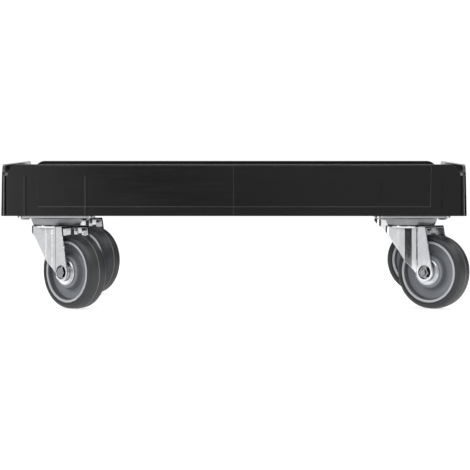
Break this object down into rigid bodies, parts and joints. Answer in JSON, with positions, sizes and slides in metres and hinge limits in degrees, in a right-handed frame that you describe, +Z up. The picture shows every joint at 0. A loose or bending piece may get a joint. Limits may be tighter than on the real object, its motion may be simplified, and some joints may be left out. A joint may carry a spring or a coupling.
{
  "type": "transport dolly",
  "caption": "Low container dolly: rectangular moulded plastic frame with a raised rim and an open load deck, carried on swivel casters with rubber-tyred wheels.",
  "frame": {"origin": "on the floor under the middle of the frame, midway between the four king pins", "axes": "+X along the length, +Z up, front (the long side seen first) towards -Y"},
  "size_m": [0.6337, 0.4327, 0.1943],
  "materials": {
    "black_abs": "satin moulded ABS",
    "zinc_plate": "bright zinc plated steel",
    "zinc_race": "dull zinc plated pressed steel",
    "ball_steel": "polished bearing steel",
    "seal_rubber": "matt",
    "zinc_fork": "bright zinc plated pressed steel",
    "zinc_fastener": "zinc plated",
    "zinc_guard": "bright zinc plated",
    "wheel_plastic": "grey moulded polypropylene",
    "tyre_rubber": "grey thermoplastic rubber",
    "bearing_plastic": "cage and rollers"
  },
  "bodies": {
    "root": {"deck": "black_abs", "plate_screws": "zinc_fastener", "front_left_top_plate": "zinc_plate", "front_left_upper_race": "zinc_race", "front_left_king_pin": "zinc_plate", "front_left_lower_race": "zinc_race", "front_right_top_plate": "zinc_plate", "front_right_upper_race": "zinc_race", "front_right_king_pin": "zinc_plate", "front_right_lower_race": "zinc_race", "rear_left_top_plate": "zinc_plate", "rear_left_upper_race": "zinc_race", "rear_left_king_pin": "zinc_plate", "rear_left_lower_race": "zinc_race", "rear_right_top_plate": "zinc_plate", "rear_right_upper_race": "zinc_race", "rear_right_king_pin": "zinc_plate", "rear_right_lower_race": "zinc_race"},
    "front_left_swivel": {"front_left_swivel_balls": "ball_steel", "front_left_dust_seal": "seal_rubber", "front_left_fork": "zinc_fork", "front_left_axle_bolt": "zinc_fastener", "front_left_axle_nut": "zinc_fastener", "front_left_axle_sleeve": "zinc_plate", "front_left_thread_guards": "zinc_guard"},
    "front_left_wheel": {"front_left_wheel_rim": "wheel_plastic", "front_left_tyre": "tyre_rubber", "front_left_wheel_bearing": "bearing_plastic"},
    "front_right_swivel": {"front_right_swivel_balls": "ball_steel", "front_right_dust_seal": "seal_rubber", "front_right_fork": "zinc_fork", "front_right_axle_bolt": "zinc_fastener", "front_right_axle_nut": "zinc_fastener", "front_right_axle_sleeve": "zinc_plate", "front_right_thread_guards": "zinc_guard"},
    "front_right_wheel": {"front_right_wheel_rim": "wheel_plastic", "front_right_tyre": "tyre_rubber", "front_right_wheel_bearing": "bearing_plastic"},
    "rear_left_swivel": {"rear_left_swivel_balls": "ball_steel", "rear_left_dust_seal": "seal_rubber", "rear_left_fork": "zinc_fork", "rear_left_axle_bolt": "zinc_fastener", "rear_left_axle_nut": "zinc_fastener", "rear_left_axle_sleeve": "zinc_plate", "rear_left_thread_guards": "zinc_guard"},
    "rear_left_wheel": {"rear_left_wheel_rim": "wheel_plastic", "rear_left_tyre": "tyre_rubber", "rear_left_wheel_bearing": "bearing_plastic"},
    "rear_right_swivel": {"rear_right_swivel_balls": "ball_steel", "rear_right_dust_seal": "seal_rubber", "rear_right_fork": "zinc_fork", "rear_right_axle_bolt": "zinc_fastener", "rear_right_axle_nut": "zinc_fastener", "rear_right_axle_sleeve": "zinc_plate", "rear_right_thread_guards": "zinc_guard"},
    "rear_right_wheel": {"rear_right_wheel_rim": "wheel_plastic", "rear_right_tyre": "tyre_rubber", "rear_right_wheel_bearing": "bearing_plastic"}
  },
  "joints": [
    {"name": "front_left_swivel_turn", "type": "hinge", "parent": "root", "child": "front_left_swivel", "pos_m": [-0.2392, -0.155, 0.11], "axis": [0, 0, 1], "continuous": true},
    {"name": "front_left_wheel_roll", "type": "hinge", "parent": "front_left_swivel", "child": "front_left_wheel", "pos_m": [-0.21394, -0.17965, 0.05], "axis": [0.6984, 0.7157, 0], "continuous": true},
    {"name": "front_right_swivel_turn", "type": "hinge", "parent": "root", "child": "front_right_swivel", "pos_m": [0.2392, -0.155, 0.11], "axis": [0, 0, 1], "continuous": true},
    {"name": "front_right_wheel_roll", "type": "hinge", "parent": "front_right_swivel", "child": "front_right_wheel", "pos_m": [0.26819, -0.17515, 0.05], "axis": [0.5707, 0.8211, 0], "continuous": true},
    {"name": "rear_left_swivel_turn", "type": "hinge", "parent": "root", "child": "rear_left_swivel", "pos_m": [-0.2392, 0.155, 0.11], "axis": [0, 0, 1], "continuous": true},
    {"name": "rear_left_wheel_roll", "type": "hinge", "parent": "rear_left_swivel", "child": "rear_left_wheel", "pos_m": [-0.21297, 0.13138, 0.05], "axis": [0.6691, 0.7431, 0], "continuous": true},
    {"name": "rear_right_swivel_turn", "type": "hinge", "parent": "root", "child": "rear_right_swivel", "pos_m": [0.2392, 0.155, 0.11], "axis": [0, 0, 1], "continuous": true},
    {"name": "rear_right_wheel_roll", "type": "hinge", "parent": "rear_right_swivel", "child": "rear_right_wheel", "pos_m": [0.27373, 0.14766, 0.05], "axis": [0.2079, 0.9781, 0], "continuous": true}
  ]
}
